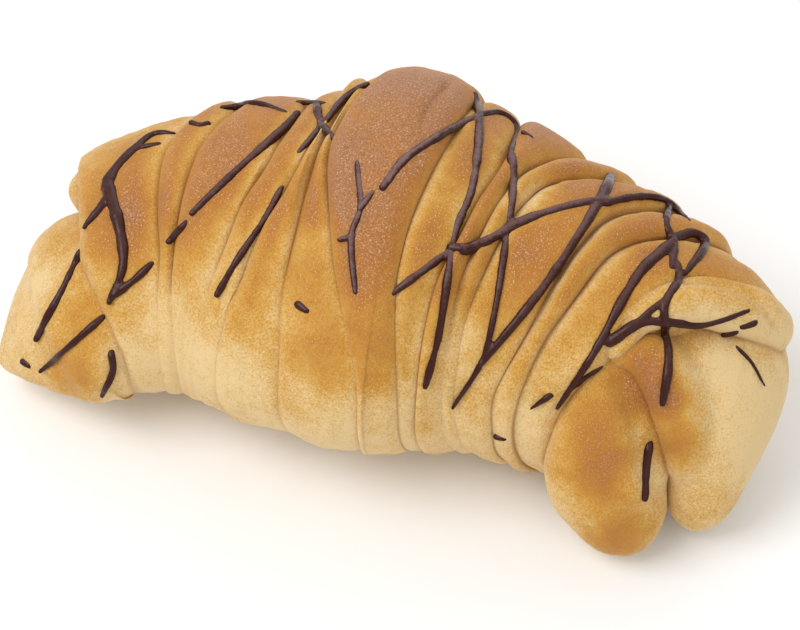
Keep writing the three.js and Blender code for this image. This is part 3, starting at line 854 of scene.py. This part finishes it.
def crust_material(look):
    """Baked dough: pale where it was sheltered, brown on the crests, dusted with flour, with painted
    shade down in the creases.
    """
    material, start, shader = new_material("baked_crust", {
        "Subsurface Weight": 0.1,
        "Subsurface Radius": (1.0, 0.45, 0.15),
        "Subsurface Scale": 0.002,
        "Specular IOR Level": 0.14,
        "Sheen Weight": 0.16,
        "Sheen Roughness": 0.45,
        "Sheen Tint": (1.0, 0.85, 0.78, 1),
    })
    place = start.make("ShaderNodeTexCoord", output="Object")
    facing = start.make("ShaderNodeNewGeometry", output="Normal").upright()
    bake, groove = start.stored("bake"), start.stored("groove")
    patches = start.speckle(place, PATCHES, 3.0)
    mottle = start.speckle(place, MOTTLE, 4.0, 0.65)
    grain = start.speckle(place, look.grain, 3.0, 0.7)
    fleck = start.speckle(place, look.grain * 0.6, 2.0, 0.6)
    heat = bake + (patches - 0.5) * 0.4 + (mottle - 0.5) * 0.45 + (grain - 0.5) * 1.1
    stops = list(zip(BAKE_STOPS, (look.pale, look.golden, look.amber, look.brown)))
    colour = start.make("ShaderNodeValToRGB", {"stops": stops}, {"Fac": heat})
    dots = start.make("ShaderNodeTexVoronoi", None, {"Vector": place, "Scale": 1 / look.dots})
    flour = (1.0 - dots.between(0.08, 0.4)) * (mottle * 0.5 + grain * 0.5).between(0.38, 0.6)
    flour = flour + (fleck * 0.7 + grain * 0.3).between(0.54, 0.66) * 0.7
    dusted = bake.between(0.1, 0.7) * (0.15 + facing.between(0.2, 0.9) * 0.45)
    colour = colour.tint(look.flour, flour * dusted)
    scorched = (1.0 - grain).between(0.46, 0.6) * bake.between(0.3, 1.0)
    colour = colour.tint(look.scorched, scorched * 0.65)
    # Painted shade: the fold colour darkens the dough down in the creases and along the seams.
    colour = colour.tint(look.fold, groove.between(0.25, 0.95) * 0.65)
    colour.feed(shader, "Base Color")
    rough = look.roughness + (mottle - 0.5) * 0.2 - bake * 0.06
    rough.feed(shader, "Roughness")
    relief = grain * 0.7 + fleck * 0.5 + mottle * 0.9
    bump = start.make("ShaderNodeBump", None, {"Strength": 0.6, "Distance": 0.0004, "Height": relief})
    bump.feed(shader, "Normal")
    return material


def chocolate_material(look):
    """Set chocolate, with a painted grey sheen of the overhead light where it lies high and faces up.
    """
    material, start, shader = new_material("set_chocolate", {"Specular IOR Level": 0.2})
    place = start.make("ShaderNodeTexCoord", output="Object")
    facing = start.make("ShaderNodeNewGeometry", output="Normal").upright()
    clouds = start.speckle(place, CLOUDS, 3.0)
    fine = start.speckle(place, FINE, 3.0, 0.6)
    # Painted sheen: lines that face up and lie high are lightened toward the grey of the overhead
    # light's reflection.
    top = (facing + (clouds - 0.5) * 0.6 + (fine - 0.5) * 0.5).between(0.65, 1.05)
    painted_sheen_share = top * (0.15 + place.upright().between(*PAINTED_SHEEN_HEIGHTS) * 0.85)
    colour = start.make("ShaderNodeMix", {"data_type": "RGBA"}, {
        "Factor": painted_sheen_share, MIX_A: (*look.dark, 1), MIX_B: (*look.painted_sheen, 1)}, MIX_RESULT)
    colour.feed(shader, "Base Color")
    rough = look.roughness + (clouds - 0.5) * 0.25 + (fine - 0.5) * 0.15
    rough.feed(shader, "Roughness")
    relief = clouds + fine * 0.35
    bump = start.make("ShaderNodeBump", None, {"Strength": 0.45, "Distance": 0.00025, "Height": relief})
    bump.feed(shader, "Normal")
    return material


# ---------- the baked body ----------


def nearest_points(points, sources):
    """Which source point is nearest to each point, and how far away it is."""
    tree = KDTree(len(sources))
    for i, source in enumerate(sources):
        tree.insert(source, i)
    tree.balance()
    found = [tree.find(point) for point in points]
    return np.array([f[1] for f in found]), np.array([f[2] for f in found])


def carry_over(points, bodies):
    """The skin values of the body each point lies on, and how near another body's skin is."""
    found = [nearest_points(points, sources) for sources, _ in bodies]
    away = np.array([distance for _, distance in found])
    owner = away.argmin(axis=0)
    skin = np.array([values[:, index] for (_, values), (index, _) in zip(bodies, found)])
    chosen = np.take_along_axis(skin, owner[None, None, :], axis=0)[0]
    second = np.sort(away, axis=0)[1]
    return chosen, fading(second, SEAM)


def over_table(points):
    """Where each point would land on the table along the chocolate's fall."""
    return (points + np.array(FALL) * (points[:, 2:] / math.sin(FALL_SLOPE)))[:, :2]


def facing_fall(normals):
    """1 where the skin faces the falling chocolate, 0 where it faces away."""
    return ramp(-(normals @ np.array(FALL)), 0, 0.3)


def browning(points, normals, shelter, crest):
    """How brown the crust is: most on the crests, least in the creases and low on the sides."""
    height = ramp(points[:, 2], *BAKE_HEIGHTS)
    heat = BAKE_BASE + BAKE_HEIGHT * height + BAKE_CREST * crest
    heat += BAKE_TOP * np.clip(normals[:, 2], 0, 1) * height
    heat += layered(points, BAKE_NOISE)
    heat *= 1 - SHELTERED * shelter
    spots, seen = over_table(points), facing_fall(normals)
    for x, y, radius, amount in BROWNING:
        heat += amount * seen * fading(np.linalg.norm(spots - (x, y), axis=1), radius)
    return np.clip(heat, 0, BAKE_MOST)


def route_distance(spots, route):
    """Distance from each spot on the table to a smooth route."""
    route = np.array(route, float)
    keys = route_keys(route)
    line = smooth(keys, route, np.linspace(0, keys[-1], max(3, int(keys[-1] / 2))))
    nearest = np.full(len(spots), np.inf)
    for a, b in zip(line[:-1], line[1:]):
        along = b - a
        share = np.clip((spots - a) @ along / (along @ along), 0, 1)
        nearest = np.minimum(nearest, np.linalg.norm(spots - a - share[:, None] * along, axis=1))
    return nearest


def soften(obj, sizes):
    """Gives a smooth shape its lumps, stretch marks, soft ridges and wrinkles."""
    points, normals = read_vertices(obj.data, "co"), read_vertices(obj.data, "normal")
    rise = sizes.lumps / MM * layered(points, LUMP_NOISE)
    rise += sizes.stretch / MM * layered(points * STRETCH_ALONG, STRETCH_NOISE)
    spots, seen = over_table(points), facing_fall(normals)
    for height, width, route in WRINKLES:
        rise += height * seen * fading(route_distance(spots, route), width)
    move_vertices(obj.data, points + normals * rise[:, None])


def build_pastry(sizes, look):
    """The baked body: the roll with its end tongues, cut flat where it rests."""
    crust, skin = roll_object(sizes)
    soften(crust, sizes)
    bodies = [(read_vertices(crust.data, "co"), skin)]
    lobes = {name: lobe_object(name, side, path) for name, (side, path) in LOBES.items()}
    join_objects(lobes["foot_b"], [lobes.pop("brow")])
    melt_together(lobes["foot_b"], FOOT_VOXEL, FOOT_FLOW)
    for name, lobe in lobes.items():
        soften(lobe, sizes)
        points = read_vertices(lobe.data, "co")
        bodies.append((points, np.tile([[0], [0], [LOBE_CRESTS[name]]], len(points))))
        combine(crust, lobe, "UNION")
    combine(crust, new_object("table", *box_mesh(*TABLE)), "DIFFERENCE")
    points, normals = read_vertices(crust.data, "co"), read_vertices(crust.data, "normal")
    (groove, shelter, crest), seam = carry_over(points, bodies)
    heat = browning(points, normals, np.maximum(shelter, SEAM_PALE * seam), crest)
    write_attribute(crust.data, "bake", heat)
    # Painted shade: darker in the creases and along the seams where a tongue meets the roll.
    write_attribute(crust.data, "groove", np.maximum(groove, SEAM_SHADE * seam))
    finish_piece(crust, crust_material(look))
    crust.data.set_sharp_from_angle(angle=SHARP)
    return crust


# ---------- the drizzle ----------


def reach(crust, x, y):
    """How high above a table point, back along the fall, the crust is first touched."""
    start = Vector((x, y, 0)) - FALL * FALL_START
    hit = crust.ray_cast(start * MM, FALL)
    return FALL_START - hit[3] / MM if hit[0] is not None else math.nan


def bead_route(crust, route):
    """Points of one line resting on the crust, bridging creases as thick chocolate does."""
    route = np.array(route, float)
    keys = route_keys(route)
    steps = max(4, int(keys[-1] / BEAD_STEP))
    flat = smooth(keys, route, np.linspace(0, keys[-1], steps + 1))
    heights = np.array([reach(crust, x, y) for x, y in flat])
    known = ~np.isnan(heights)
    if not known.any():
        raise RuntimeError("a drizzle line misses the crust")
    heights = np.interp(np.arange(len(heights)), np.flatnonzero(known), heights[known])
    window = int(BRIDGE / BEAD_STEP)
    stiff = STIFF * over_window(heights, window, np.max) + (1 - STIFF) * heights
    eased = over_window(stiff, window, np.mean)
    return np.column_stack([flat, np.zeros(len(flat))]) - np.array(FALL) * eased[:, None]


def bead_object(crust, name, widths, route, look, seed):
    """One line of chocolate, rounded at its two ends."""
    middle = bead_route(crust, route)
    count = len(middle)
    half = np.linspace(*widths, count) / 2
    half = half * (1 + layered(middle, BEAD_NOISE, seed))
    to_end = np.minimum(np.arange(count), np.arange(count)[::-1]) * BEAD_STEP
    half = half * (END_WIDTH + (1 - END_WIDTH) * ramp(to_end, 0, END_TAPER))
    along = unit(np.gradient(middle, axis=0))
    across = unit(np.cross(along, np.array(FALL)))
    up = np.cross(across, along)
    middle = middle + up * (look.lift / MM)
    ring = np.pad(np.arange(count), len(BEAD_CAP), mode="edge")
    size = np.concatenate([np.cos(BEAD_CAP), np.ones(count), np.cos(BEAD_CAP)[::-1]])
    push = np.concatenate([-np.sin(BEAD_CAP), np.zeros(count), np.sin(BEAD_CAP)[::-1]])
    centre = middle[ring] + along[ring] * (push * half[ring])[:, None]
    width = half[ring] * size
    rings = tube_rings(centre, across[ring], up[ring], width, width * look.depth, BEAD_AROUND)
    obj = new_object(name, rings, ring_faces(len(rings), BEAD_AROUND))
    face_outwards(obj)
    return obj


def build_drizzle(crust, look):
    """Every network of lines, each melted into one piece."""
    material = chocolate_material(look)
    for n, (node, lines) in enumerate(DRIZZLE.items()):
        name = "chocolate_" + node
        beads = [
            bead_object(crust, name, widths, route, look, n * 20 + i)
            for i, (widths, route) in enumerate(lines)]
        piece = beads[0]
        if len(beads) > 1:
            join_objects(piece, beads[1:])
        melt_together(piece, look.voxel / MM, BEAD_FLOW)
        finish_piece(piece, material)
        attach(piece, "root")
        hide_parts(node)


# ---------- the stage ----------


def add_light(name, place, size, power):
    """A soft square light aimed at the croissant."""
    light = bpy.data.lights.new(name, "AREA")
    light.size, light.energy = size, power
    obj = bpy.data.objects.new(name, light)
    obj.location = place
    obj.rotation_euler = (Vector(place) - LIGHT_TARGET).to_track_quat("Z", "Y").to_euler()
    bpy.context.scene.collection.objects.link(obj)


def add_floor(studio):
    """The plain floor."""
    half = studio.floor_size / 2
    corners = np.array([(-half, -half, 0), (half, -half, 0), (half, half, 0), (-half, half, 0)])
    floor = new_object("studio_floor", corners, [(0, 1, 2, 3)])
    material, _, _ = new_material("floor_paint", {
        "Base Color": (*studio.floor_colour, 1),
        "Roughness": 0.9,
        "Specular IOR Level": 0.1,
    })
    floor.data.materials.append(material)


def add_sky(studio):
    """Even white light from all sides."""
    world = bpy.data.worlds.new("soft_sky")
    world.use_nodes = True
    background = world.node_tree.nodes["Background"]
    background.inputs["Color"].default_value = (1, 1, 1, 1)
    background.inputs["Strength"].default_value = studio.sky
    bpy.context.scene.world = world


def add_camera(studio):
    """The camera that looks down on the front of the croissant."""
    camera = bpy.data.cameras.new("camera")
    camera.lens, camera.sensor_width = studio.lens, SENSOR_WIDTH
    holder = bpy.data.objects.new("camera", camera)
    back = Vector((
        math.sin(studio.turn) * math.cos(studio.height),
        -math.cos(studio.turn) * math.cos(studio.height),
        math.sin(studio.height)))
    holder.location = CAMERA_TARGET + back * studio.distance
    holder.rotation_euler = back.to_track_quat("Z", "Y").to_euler()
    bpy.context.scene.collection.objects.link(holder)
    bpy.context.scene.camera = holder


def build_stage(studio):
    """The floor, the light and the camera."""
    add_floor(studio)
    add_sky(studio)
    for name, place, size, power in LIGHTS:
        add_light(name, place, size, power)
    add_camera(studio)
    bpy.context.scene.view_settings.view_transform = "Standard"


# ---------- operators and panel ----------


class CROISSANT_OT_pastry(bpy.types.Operator):
    """Build the wrapped dough with its horns, feet and crust"""

    bl_idname = "croissant.pastry"
    bl_label = "Build the Pastry"

    def execute(self, context):
        scene = context.scene
        crust = build_pastry(scene.croissant_dough, scene.croissant_crust)
        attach(crust, "root")
        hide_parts("pastry")
        return {"FINISHED"}


class CROISSANT_OT_drizzle(bpy.types.Operator):
    """Lay the chocolate lines and drops over the crust"""

    bl_idname = "croissant.drizzle"
    bl_label = "Lay the Drizzle"

    def execute(self, context):
        crust = bpy.data.objects.get("pastry_crust")
        if crust is None:
            raise RuntimeError("build the pastry before the drizzle")
        tree = BVHTree.FromObject(crust, context.evaluated_depsgraph_get())
        build_drizzle(tree, context.scene.croissant_chocolate)
        return {"FINISHED"}


class CROISSANT_OT_stage(bpy.types.Operator):
    """Set up the floor, the lights and the camera"""

    bl_idname = "croissant.stage"
    bl_label = "Set the Stage"

    def execute(self, context):
        build_stage(context.scene.croissant_studio)
        return {"FINISHED"}


class CROISSANT_PT_panel(bpy.types.Panel):
    """The steps that build the croissant"""

    bl_label = "Croissant"
    bl_idname = "CROISSANT_PT_panel"
    bl_space_type = "VIEW_3D"
    bl_region_type = "UI"
    bl_category = "Croissant"

    def draw(self, context):
        for operator in OPERATORS:
            self.layout.operator(operator.bl_idname)


OPERATORS = (CROISSANT_OT_pastry, CROISSANT_OT_drizzle, CROISSANT_OT_stage)
GROUPS = {
    "croissant_dough": DoughSizes,
    "croissant_crust": CrustLook,
    "croissant_chocolate": ChocolateLook,
    "croissant_studio": StudioSizes,
}
CLASSES = (*GROUPS.values(), *OPERATORS, CROISSANT_PT_panel)


def register():
    """Adds the classes and puts the sizes and colours on the scene."""
    for cls in CLASSES:
        bpy.utils.register_class(cls)
    for name, group in GROUPS.items():
        setattr(bpy.types.Scene, name, PointerProperty(type=group))


def unregister():
    """Takes away what register added."""
    for name in GROUPS:
        delattr(bpy.types.Scene, name)
    for cls in reversed(CLASSES):
        bpy.utils.unregister_class(cls)


def main():
    """Registers the classes and builds the pastry, the drizzle and the stage."""
    register()
    bpy.ops.croissant.pastry()
    bpy.ops.croissant.drizzle()
    bpy.ops.croissant.stage()


if __name__ == "__main__":
    main()
